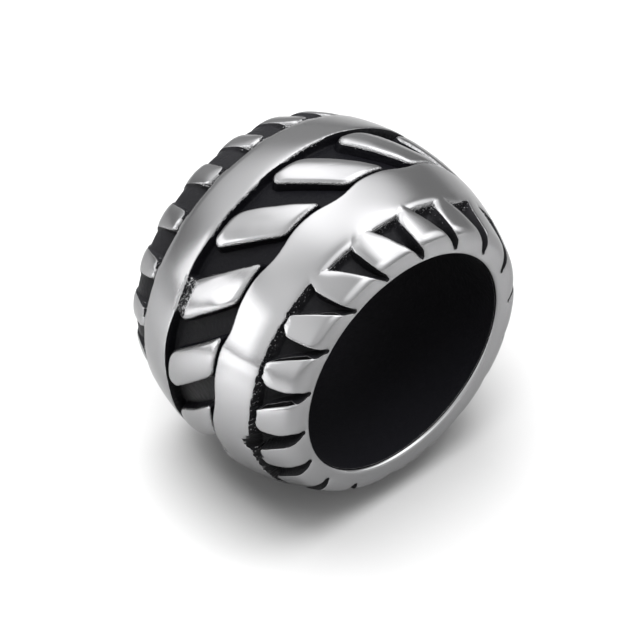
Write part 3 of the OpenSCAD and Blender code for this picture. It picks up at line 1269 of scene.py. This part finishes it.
@dataclass(frozen=True)
class LobeRing:
    """The leaning lobes that stand in the trench.

    Attributes:
        barrel: the smooth form of the bead.
        count: how many lobes there are.
        top_angle: angle of the first lobe in degrees.
        shift: most that a lobe sits back from even spacing, in degrees.
        width: width of a lobe, measured round the bead.
        half_height: half its height along the hole.
        forward: how far it sits towards the seen end.
        belly: how far its long side bellies out.
        lean: lean of its long sides, in degrees.
        top_r: radius of its rounded top, across its lean.
        corner_radii: rounding of its four corners.
        corner_points: points in each corner.
        inset: how far its crest stays below the bead's greatest radius.
        outline_points: points of its outline.
        top_shares: sizes of the rings on its top, as shares of the outline.
        edge_from: share from which the top curves down to the edge, how far, and how sharply.
        ragged_from: share from which the top's edge is rough, and how rough it is.
        wall: size and depth in millimetres of each ring of the wall.
        wall_black: depth in millimetres at which the wall has turned black.
        wall_ragged: depths in millimetres over which it is rough.
        foot: depth of the foot under the top.
        wander: how much each lobe differs from the others.
        roughness: how rough its edges are.
        seed: which chance.
        cast_marks: black and roughness where the casting wasn't cleaned.
        wander_scale: how many bumps of the wander fit in a metre.
        rough_scale: how many bumps of the roughness fit in a metre.
    """

    barrel: Barrel
    count: int = 13
    top_angle: float = 90.0
    shift: float = 2.0
    width: float = 1.5 * MM
    half_height: float = 0.97 * MM
    forward: float = 0.03 * MM
    belly: float = 0.07 * MM
    lean: float = 43.0
    top_r: float = 1.5 * MM
    corner_radii: tuple[float, ...] = (0.07 * MM, 0.75 * MM, 0.2 * MM, 0.6 * MM)
    corner_points: int = 9
    inset: float = 0.02 * MM
    outline_points: int = 168
    top_shares: tuple[float, ...] = (0.16, 0.32, 0.47, 0.6, 0.71, 0.8, 0.87, 0.92, 0.955, 0.98, 1.0)
    edge_from: tuple[float, float, float] = (0.8, 0.055 * MM, 2.5)
    ragged_from: Span = (0.9, 0.7)
    wall: tuple[tuple[float, float], ...] = (
        (1.01, 0.03), (1.018, 0.06), (1.025, 0.1), (1.035, 0.16), (1.045, 0.26), (1.055, 0.4), (1.06, 0.7))
    wall_black: float = 0.09
    wall_ragged: Hill = Hill(0.0, 0.12)
    foot: float = 0.75 * MM
    wander: float = 0.12 * MM
    roughness: float = 0.035 * MM
    seed: int = 4
    cast_marks: tuple[tuple[str, float], ...] = ((OXIDE, 0.6), (RAGGED, 1.0))
    wander_scale: float = 650.0
    rough_scale: float = 8000.0

    def _corner(
        self, before: np.ndarray, corner: np.ndarray, after: np.ndarray, radius: float
    ) -> list[np.ndarray]:
        """Rounds one corner of an outline.

        Args:
            before: the corner before it.
            corner: the corner itself.
            after: the corner after it.
            radius: its rounding.

        Returns:
            The points of the arc.
        """
        u = (before - corner) / np.linalg.norm(before - corner)
        v = (after - corner) / np.linalg.norm(after - corner)
        half_angle = math.acos(float(u @ v)) / 2.0
        centre = corner + (u + v) / np.linalg.norm(u + v) * radius / math.sin(half_angle)
        start = corner + u * radius / math.tan(half_angle) - centre
        stop = corner + v * radius / math.tan(half_angle) - centre
        first = math.atan2(start[1], start[0])
        sweep = math.atan2(start[0] * stop[1] - start[1] * stop[0], float(start @ stop))
        return [centre + radius * np.array((math.cos(first + sweep * t), math.sin(first + sweep * t)))
                for t in np.linspace(0.0, 1.0, self.corner_points)]

    def outline(self) -> np.ndarray:
        """Draws a lobe seen square on.

        Returns:
            Distance round the bead and height of evenly spaced points.
        """
        slope = math.tan(math.radians(self.lean))
        by, half, high = self.half_height * slope, self.width / 2.0, self.half_height
        corners = np.array(((-by - half, high), (by - half, -high), (by + half, -high), (-by + half, high)))
        path = []
        for i, radius in enumerate(self.corner_radii):
            path += self._corner(corners[i - 1], corners[i], corners[(i + 1) % len(corners)], radius)
        path = np.array(path + [path[0]])
        length = np.concatenate(((0.0,), np.cumsum(np.linalg.norm(np.diff(path, axis=0), axis=1))))
        spots = np.linspace(0.0, length[-1], self.outline_points, endpoint=False)
        edge = np.stack([np.interp(spots, length, path[:, axis]) for axis in (0, 1)], axis=-1)
        bellied = smooth_step(0.0, half, edge[:, 0] + edge[:, 1] * slope)
        edge[:, 0] += self.belly * bellied * np.cos(math.pi / 2.0 * edge[:, 1] / high)
        edge[:, 1] += self.forward
        return edge

    def template(self) -> bpy.types.Mesh:
        """Makes one lobe at angle 0.

        Returns:
            Its mesh, with a pillowed top, ragged walls and a foot sunk in the trench.
        """
        b = self.barrel
        edge = self.outline()
        count = len(edge)
        lean = math.radians(self.lean)
        ring_r = 1.0 / (math.cos(lean) ** 2 / b.arc_r + math.sin(lean) ** 2 / b.outer_r)
        edge_share, edge_drop, power = self.edge_from
        ragged_share, most = self.ragged_from
        rings, oxide, ragged = [self._raised(np.zeros((1, 2)), 0.0, ring_r)], [np.zeros(1)], [np.zeros(1)]
        drop = 0.0
        for share in self.top_shares:
            drop = edge_drop * max(0.0, (share - edge_share) / (1.0 - edge_share)) ** power
            rough = most * max(0.0, (share - ragged_share) / (1.0 - ragged_share)) ** 2
            rings.append(self._raised(edge * share, drop, ring_r))
            oxide.append(np.zeros(count))
            ragged.append(np.full(count, rough))
        for share, sink in self.wall:
            rings.append(self._raised(edge * share, drop + sink * MM, ring_r))
            oxide.append(np.full(count, smooth_step(0.0, self.wall_black, sink)))
            ragged.append(np.full(count, most * self.wall_ragged.at(sink)))
        rings.append(self._raised(np.zeros((1, 2)), self.foot, ring_r))
        points = np.concatenate(rings)
        faces = []
        last = len(points) - 1 - count
        for i in range(count):
            j = (i + 1) % count
            faces.append((0, 1 + i, 1 + j))
            faces += [(a + i, a + count + i, a + count + j, a + j) for a in range(1, last, count)]
            faces.append((last + i, len(points) - 1, last + j))
        marks = {OXIDE: np.concatenate(oxide + [np.ones(1)]), RAGGED: np.concatenate(ragged + [np.zeros(1)])}
        return make_mesh("lobe", points, faces, marks)

    def _raised(self, flat: np.ndarray, drop: float, ring_r: float) -> np.ndarray:
        """Lifts points of the flat outline on to the lobe's rounded top.

        Args:
            flat: distance round the bead and height of each point.
            drop: how far the points are lowered below the top.
            ring_r: radius of the top along its lean.

        Returns:
            Their places on a lobe at angle 0.
        """
        lean = math.radians(self.lean)
        along = -flat[:, 0] * math.sin(lean) + flat[:, 1] * math.cos(lean)
        across = flat[:, 0] * math.cos(lean) + flat[:, 1] * math.sin(lean)
        fall = along**2 / (2.0 * ring_r) + across**2 / (2.0 * self.top_r)
        return np.stack((self.barrel.outer_r - self.inset - drop - fall, -flat[:, 1], flat[:, 0]), axis=-1)

    def tree(self) -> bpy.types.NodeTree:
        """Makes the geometry tree that sets the lobes round the trench.

        Returns:
            The tree, which makes each lobe a little different.
        """
        tree = bpy.data.node_groups.new("lobe ring", "GeometryNodeTree")
        face = tree.interface
        face.new_socket("Lobe", in_out="INPUT", socket_type="NodeSocketGeometry")
        kinds = {"Count": "Int", "First angle": "Float", "Shift": "Float", "Wander": "Float",
                 "Roughness": "Float", "Seed": "Float", "Finish": "Material"}
        for name, kind in kinds.items():
            face.new_socket(name, in_out="INPUT", socket_type=f"NodeSocket{kind}")
        face.new_socket("Lobes", in_out="OUTPUT", socket_type="NodeSocketGeometry")
        nodes = Nodes(tree)
        given = nodes.add("NodeGroupInput")

        def named(name: str) -> Value:
            """One of the tree's own inputs."""
            return nodes.output(given, name)

        even = nodes.add("GeometryNodeInputIndex") * (2.0 * math.pi) * named("Count") ** -1.0
        angle = named("First angle") + even - named("Shift") * even.sine() ** 2.0
        spin = nodes.add("ShaderNodeCombineXYZ", inputs={"Y": 0.0 - angle})
        turn = nodes.add("FunctionNodeEulerToRotation", inputs={"Euler": spin})
        points = nodes.add("GeometryNodePoints", inputs={"Count": named("Count")})
        placed = nodes.add("GeometryNodeInstanceOnPoints", inputs={
            "Points": points, "Instance": named("Lobe"), "Rotation": turn})
        real = nodes.add("GeometryNodeRealizeInstances", inputs={"Geometry": placed})
        edge = nodes.add("GeometryNodeInputNamedAttribute", {"data_type": "FLOAT"}, {"Name": RAGGED})
        where = nodes.add("GeometryNodeInputPosition")

        def shake(scale: float, amount: Value) -> Value:
            """A random shift of each vertex.

            Args:
                scale: how many bumps fit in a metre.
                amount: about how far it goes.

            Returns:
                The shift.
            """
            dice = nodes.add("ShaderNodeTexNoise", {"noise_dimensions": "4D"},
                             {"Vector": where, "W": named("Seed"), "Scale": scale, "Detail": 1.0})
            centred = nodes.vector("SUBTRACT", {0: nodes.output(dice, "Color"), 1: (0.5, 0.5, 0.5)})
            return nodes.vector("SCALE", {0: centred, "Scale": amount})

        wander = shake(self.wander_scale, named("Wander"))
        both = nodes.vector("ADD", {0: wander, 1: shake(self.rough_scale, named("Roughness") * edge)})
        moved = nodes.add("GeometryNodeSetPosition", inputs={"Geometry": real, "Offset": both})
        done = nodes.add("GeometryNodeSetMaterial", inputs={"Geometry": moved, "Material": named("Finish")})
        nodes.add("NodeGroupOutput", inputs={"Lobes": done})
        return tree

    def build(self, finish: bpy.types.Material) -> bpy.types.Object:
        """Makes the ring of lobes as one plain mesh.

        Args:
            finish: the material of the lobes.

        Returns:
            The object, with its place in its mesh.
        """
        piece = add_object("lobes", self.template())
        modifier = piece.modifiers.new("ring", "NODES")
        modifier.node_group = self.tree()
        values = {
            "Count": self.count,
            "First angle": math.radians(self.top_angle),
            "Shift": math.radians(self.shift),
            "Wander": self.wander,
            "Roughness": self.roughness,
            "Seed": float(self.seed),
            "Finish": finish,
        }
        for item in modifier.node_group.interface.items_tree:
            if item.item_type == "SOCKET" and item.in_out == "INPUT" and item.name in values:
                modifier[item.identifier] = values[item.name]
        ready = piece.evaluated_get(bpy.context.evaluated_depsgraph_get())
        mesh = bpy.data.meshes.new_from_object(ready)
        piece.modifiers.remove(modifier)
        piece.data = mesh
        mesh.name = "lobes"
        self._leave_crumbly(mesh)
        return piece

    def _leave_crumbly(self, mesh: bpy.types.Mesh) -> None:
        """Marks the foot of the one lobe that wasn't cleaned after the casting.

        Args:
            mesh: the mesh of all lobes.
        """
        places = np.empty(3 * len(mesh.vertices))
        mesh.vertices.foreach_get("co", places)
        x, y, z = places.reshape(-1, 3).T
        cast = AS_CAST.at(np.degrees(np.arctan2(z, x)) % TURN, -y)
        for name, amount in self.cast_marks:
            marks = np.empty(len(mesh.vertices), dtype=np.float32)
            mesh.attributes[name].data.foreach_get("value", marks)
            marked = marks + (amount - marks) * cast
            mesh.attributes[name].data.foreach_set("value", marked.astype(np.float32))


@dataclass(frozen=True)
class Mottle:
    """Noise in a finish: how many bumps fit in a millimetre, and how many finer layers lie over them."""

    scale: float
    detail: float


@dataclass(frozen=True)
class OxidisedSteel:
    """Polished stainless steel with a matt black finish wherever the polishing wheel can't reach.

    Attributes:
        steel: colour of the polished metal.
        sooty: its colour beside rough edges.
        black: colour of the finish in the trench.
        pocket_black: its colour in the pockets, which are less deep.
        hole_black: its colour in the hair hole.
        pocket_from: heights in millimetres between which the one black turns to the other.
        hole_r: radii in millimetres between which the hair hole ends.
        steel_roughness: roughness of the polished metal.
        black_roughness: roughness of the black finish.
        hole_roughness: roughness of the finish in the hair hole.
        black_from: marks between which the metal turns black.
        chipped: noise that frays the edge of the black, and its strength on clean and on rough edges.
        crumbs: noise of the bright crumbs, and the values between which a crumb begins.
        crumb_help: what a rough edge adds to that noise.
        soot: noise of the soot, and its strength.
        soot_level: what is added to the noise's height, which runs from -1 to 1.
        soot_full: the sum at which the soot is full.
        smear: noise of the smears in the polish, and its strength.
        edge_roughness: how much duller the metal is beside rough edges.
        lumps: noise that lifts rough edges, and how high in millimetres.
        skin: noise of the black finish's own skin, and how high.
        hair: noise of the polish's hair lines, and how high.
        noise_roughness: how strong the finer layers of all these noises are.
        gloss: how strongly the black finish mirrors, and the tint of that.
    """

    steel: Colour = (0.24, 0.24, 0.244, 1.0)
    sooty: Colour = (0.136, 0.136, 0.14, 1.0)
    black: Colour = (0.0009, 0.0009, 0.0012, 1.0)
    pocket_black: Colour = (0.003, 0.003, 0.0034, 1.0)
    hole_black: Colour = (0.0013, 0.0013, 0.0018, 1.0)
    pocket_from: Span = (2.4, 2.8)
    hole_r: Span = (4.12, 4.17)
    steel_roughness: float = 0.2
    black_roughness: float = 0.46
    hole_roughness: float = 0.8
    black_from: Span = (0.38, 0.54)
    chipped: tuple[Mottle, float, float] = (Mottle(11.0, 2.0), 0.12, 0.8)
    crumbs: tuple[Mottle, float, float] = (Mottle(15.0, 1.0), 0.2, 0.26)
    crumb_help: float = 0.1
    soot: tuple[Mottle, float] = (Mottle(6.0, 3.0), 0.5)
    soot_level: float = 0.35
    soot_full: float = 0.6
    smear: tuple[Mottle, float] = (Mottle(1.3, 4.0), 0.08)
    edge_roughness: float = 0.1
    lumps: tuple[Mottle, float] = (Mottle(19.0, 2.0), 0.05)
    skin: tuple[Mottle, float] = (Mottle(7.0, 4.0), 0.03)
    hair: tuple[Mottle, float] = (Mottle(55.0, 2.0), 0.0006)
    noise_roughness: float = 0.6
    gloss: tuple[float, Colour] = (0.06, (0.75, 0.75, 0.75, 1.0))

    def build(self) -> bpy.types.Material:
        """Makes the material.

        Returns:
            The material, which reads Object coordinates and the marks at the vertices.
        """
        material = bpy.data.materials.new("oxidised steel")
        material.use_nodes = True
        material.node_tree.nodes.clear()
        nodes = Nodes(material.node_tree)
        place = nodes.output(nodes.add("ShaderNodeTexCoord"), "Object")
        place = nodes.vector("SCALE", {0: place, "Scale": 1.0 / MM})

        def noisy(mottle: Mottle) -> Value:
            """Noise around 0."""
            return nodes.add("ShaderNodeTexNoise", None, {
                "Vector": place, "Scale": mottle.scale, "Detail": mottle.detail,
                "Roughness": self.noise_roughness}) - 0.5

        oxide, ragged = nodes.attribute(OXIDE), nodes.attribute(RAGGED)
        chip, clean_chip, rough_chip = self.chipped
        crumbs, low, high = self.crumbs
        crumb = (noisy(crumbs) + ragged * self.crumb_help).step(low, high)
        frayed = oxide + noisy(chip) * (clean_chip + rough_chip * ragged)
        black = (frayed - crumb * ragged).step(*self.black_from)
        sooted = (noisy(self.soot[0]) * 2.0 + self.soot_level).step(0.0, self.soot_full)
        soot = ragged * sooted * self.soot[1]
        axes = nodes.add("ShaderNodeSeparateXYZ", None, {"Vector": place})
        x, y, z = (nodes.output(axes, axis) for axis in "XYZ")
        hole = 1.0 - ((x**2.0 + z**2.0) ** 0.5).step(*self.hole_r)
        recess = nodes.mix(((y**2.0) ** 0.5).step(*self.pocket_from), self.black, self.pocket_black)
        metal = nodes.mix(soot, self.steel, self.sooty)
        colour = nodes.mix(black, metal, nodes.mix(hole, recess, self.hole_black))
        polish = self.steel_roughness + noisy(self.smear[0]) * self.smear[1] + ragged * self.edge_roughness
        matt = self.black_roughness + hole * (self.hole_roughness - self.black_roughness)
        lumps, skin, hair = (noisy(mottle) * high for mottle, high in (self.lumps, self.skin, self.hair))
        normal = nodes.add("ShaderNodeBump", None, {
            "Strength": 1.0, "Distance": MM, "Height": lumps * ragged + skin * black + hair})
        shader = nodes.add("ShaderNodeBsdfPrincipled", None, {
            "Base Color": colour, "Roughness": polish + black * (matt - polish), "Metallic": 1.0 - black,
            "Normal": normal, "Specular IOR Level": self.gloss[0], "Specular Tint": self.gloss[1]})
        nodes.add("ShaderNodeOutputMaterial", None, {"Surface": shader})
        return material


@dataclass(frozen=True)
class Lamp:
    """A soft lamp of the studio, which faces straight down where it is first put.

    Attributes:
        name: what the lamp is for.
        size: metres across, and from edge to edge the other way.
        brightness: radiance of its face, where 1 is white.
    """

    name: str
    size: Span
    brightness: float

    def _hang(self, place: Vector | tuple) -> bpy.types.Object:
        """Puts the lamp in the scene, unseen by the camera.

        Args:
            place: where it is, in metres from the middle of the bead.

        Returns:
            The lamp's object.
        """
        light = bpy.data.lights.new(self.name, "AREA")
        light.shape = "RECTANGLE"
        light.size, light.size_y = self.size
        light.energy = self.brightness * math.pi * self.size[0] * self.size[1]
        holder = add_object(self.name, light)
        holder.location = place
        holder.visible_camera = False
        return holder


@dataclass(frozen=True)
class SideLamp(Lamp):
    """A soft lamp that faces the bead.

    Attributes:
        azimuth: direction round the bead in degrees, 0 at the seen end and 90 to its right.
        elevation: degrees above the floor.
        distance: metres from the bead.
    """

    azimuth: float
    elevation: float
    distance: float

    def build(self) -> None:
        """Puts the lamp in the scene."""
        towards = direction(self.azimuth, self.elevation)
        self._hang(towards * self.distance).rotation_euler = towards.to_track_quat("Z", "Y").to_euler()


@dataclass(frozen=True)
class FloorLamp(Lamp):
    """A soft lamp that faces straight down on the floor and isn't mirrored in the steel.

    Attributes:
        place: metres from the bead to the right, away from the seen end, and up.
        spread: degrees over which its light fans out.
    """

    place: tuple[float, float, float]
    spread: float

    def build(self) -> None:
        """Puts the lamp in the scene."""
        holder = self._hang(self.place)
        holder.data.spread = math.radians(self.spread)
        holder.visible_glossy = False


@dataclass(frozen=True)
class Glow:
    """A large soft sheet of light with a gradual edge, far off.

    Attributes:
        azimuth: direction round the bead in degrees, 0 at the seen end and 90 to its right.
        elevation: degrees above the floor.
        core: degrees from its middle over which it has its full brightness.
        reach: degrees from its middle at which it ends.
        brightness: radiance that it adds, where 1 is white.
    """

    azimuth: float
    elevation: float
    core: float
    reach: float
    brightness: float


@dataclass(frozen=True)
class Studio:
    """The plain pale floor, the soft lights round the bead and the camera.

    Attributes:
        floor_z: height of the floor.
        floor_size: metres from edge to edge of it.
        paper: colour of its paper, which the lamps light up to white.
        paper_gloss: how rough the paper is, and how strongly it mirrors.
        ambient: radiance of the surroundings between the glows.
        glows: the soft sheets of light far off.
        lamps: the lamps near the bead.
        azimuth: direction from which the camera looks, in degrees.
        elevation: degrees of the camera above the floor.
        distance: metres from the bead to the camera.
        lens: focal length in millimetres.
        shift: how far the photograph's frame is off the bead's middle.
        clip: nearest and furthest that the camera sees, in metres.
    """

    floor_z: float
    floor_size: float = 3.0
    paper: Colour = (0.14, 0.14, 0.14, 1.0)
    paper_gloss: Span = (0.9, 0.1)
    ambient: float = 0.59
    glows: tuple[Glow, ...] = (
        Glow(122.0, 63.0, 10.0, 42.0, 2.36),
        Glow(-173.0, 54.0, 12.0, 46.0, 1.60),
        Glow(150.0, 10.0, 15.0, 40.0, 0.28),
        Glow(-40.0, 20.0, 15.0, 95.0, 0.85),
        Glow(-90.0, 20.0, 12.0, 42.0, 0.76),
        Glow(-98.0, 66.0, 8.0, 32.0, 0.51),
        Glow(40.0, 44.0, 9.0, 34.0, 2.9),
        Glow(62.0, 60.0, 5.0, 24.0, 2.0),
        Glow(58.0, 20.0, 5.0, 22.0, 2.4),
        Glow(0.0, 36.0, 6.0, 26.0, 1.3),
    )
    lamps: tuple[SideLamp | FloorLamp, ...] = (
        SideLamp("left side", (0.265, 0.22), 3.1, -119.0, 9.0, 0.26),
        FloorLamp("far wash", (0.45, 0.45), 11.3, (0.0, 0.0, 0.45), 180.0),
        FloorLamp("near wash", (0.08, 0.08), 17.0, (-0.003, 0.0105, 0.07), 180.0),
        FloorLamp("left wash", (0.02, 0.02), 80.0, (-0.038, 0.0065, 0.06), 46.0),
        FloorLamp("front wash", (0.008, 0.008), 9.0, (0.0097, -0.0145, 0.03), 14.0),
        FloorLamp("front far wash", (0.05, 0.05), 10.0, (0.036, -0.064, 0.06), 50.0),
    )
    azimuth: float = -41.75
    elevation: float = 43.9
    distance: float = 0.1452
    lens: float = 250.5
    shift: Span = (-0.00874, -0.02667)
    clip: Span = (0.01, 10.0)

    def build(self) -> None:
        """Makes the floor, the lights, the surroundings and the camera."""
        self._floor()
        for lamp in self.lamps:
            lamp.build()
        self._surroundings()
        bpy.context.scene.view_settings.view_transform = "Standard"
        self._camera()

    def _surroundings(self) -> None:
        """Makes the pale surroundings with their large soft sheets of light."""
        world = bpy.data.worlds.new("studio")
        world.use_nodes = True
        world.node_tree.nodes.clear()
        nodes = Nodes(world.node_tree)
        look = nodes.output(nodes.add("ShaderNodeTexCoord"), "Generated")
        light = nodes.add("ShaderNodeValue")
        light.socket.default_value = self.ambient
        for glow in self.glows:
            towards = tuple(direction(glow.azimuth, glow.elevation))
            nearness = nodes.vector("DOT_PRODUCT", {0: look, 1: towards})
            low, high = math.cos(math.radians(glow.reach)), math.cos(math.radians(glow.core))
            light = light + nearness.step(low, high) * glow.brightness
        sky = nodes.add("ShaderNodeBackground", None, {"Color": (1.0, 1.0, 1.0, 1.0), "Strength": light})
        nodes.add("ShaderNodeOutputWorld", None, {"Surface": sky})
        bpy.context.scene.world = world

    def _floor(self) -> None:
        """Makes the floor, of plain matt paper."""
        half = self.floor_size / 2.0
        ways = ((-1.0, -1.0), (1.0, -1.0), (1.0, 1.0), (-1.0, 1.0))
        corners = np.array([(x * half, y * half, self.floor_z) for x, y in ways])
        floor = add_object("floor", make_mesh("floor", corners, [(0, 1, 2, 3)], {}))
        paper = bpy.data.materials.new("matt paper")
        paper.use_nodes = True
        shader = paper.node_tree.nodes["Principled BSDF"]
        shader.inputs["Base Color"].default_value = self.paper
        for name, amount in zip(("Roughness", "Specular IOR Level"), self.paper_gloss):
            shader.inputs[name].default_value = amount
        floor.data.materials.append(paper)

    def _camera(self) -> None:
        """Makes the camera at the photograph's angle."""
        camera = bpy.data.cameras.new("camera")
        camera.lens = self.lens
        camera.shift_x, camera.shift_y = self.shift
        camera.clip_start, camera.clip_end = self.clip
        holder = add_object("camera", camera)
        back = direction(self.azimuth, self.elevation)
        holder.location = back * self.distance
        holder.rotation_euler = back.to_track_quat("Z", "Y").to_euler()
        bpy.context.scene.camera = holder


def report_piece(piece: bpy.types.Object) -> None:
    """Ties a finished piece to the model and logs its size.

    Args:
        piece: the piece.
    """
    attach(piece, BODY)
    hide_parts(NODE)
    triangles = sum(len(polygon.vertices) - 2 for polygon in piece.data.polygons)
    log.info("%s: %d triangles", piece.name, triangles)


def main() -> None:
    """Builds the bead and the studio round it."""
    logging.basicConfig(level=logging.INFO, format="%(name)s: %(message)s")
    low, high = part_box(NODE)
    bore = next(mount for mount in frame["record"]["mounts"] if mount["name"] == BORE_MOUNT)
    barrel = Barrel(outer_r=high.z, half_len=(high.y - low.y) / 2.0, bore_r=bore["dims"]["r_mm"] * MM)
    crowns = {
        End.SEEN: SeenCrown(
            turn=9.0, shift=2.6, uneven=0.3, seed=5, reach=1.92 * MM, short=0.68 * MM, corner=0.05 * MM,
            tip_corner=0.08 * MM, soft=0.12 * MM, soft_drop=0.05 * MM,
            strays={4: (-1.6, 1.5), 7: (-0.6, 0.7)}),
        End.HIDDEN: HiddenCrown(
            turn=3.0, shift=0.0, uneven=0.9, seed=8, reach=1.86 * MM, short=0.0, corner=0.1 * MM,
            tip_corner=0.12 * MM, soft=0.16 * MM, soft_drop=0.08 * MM),
    }
    steel = OxidisedSteel().build()
    for part in (Sleeve(barrel, crowns), LobeRing(barrel)):
        report_piece(part.build(steel))
    Studio(floor_z=low.z).build()


if __name__ == "__main__":
    main()
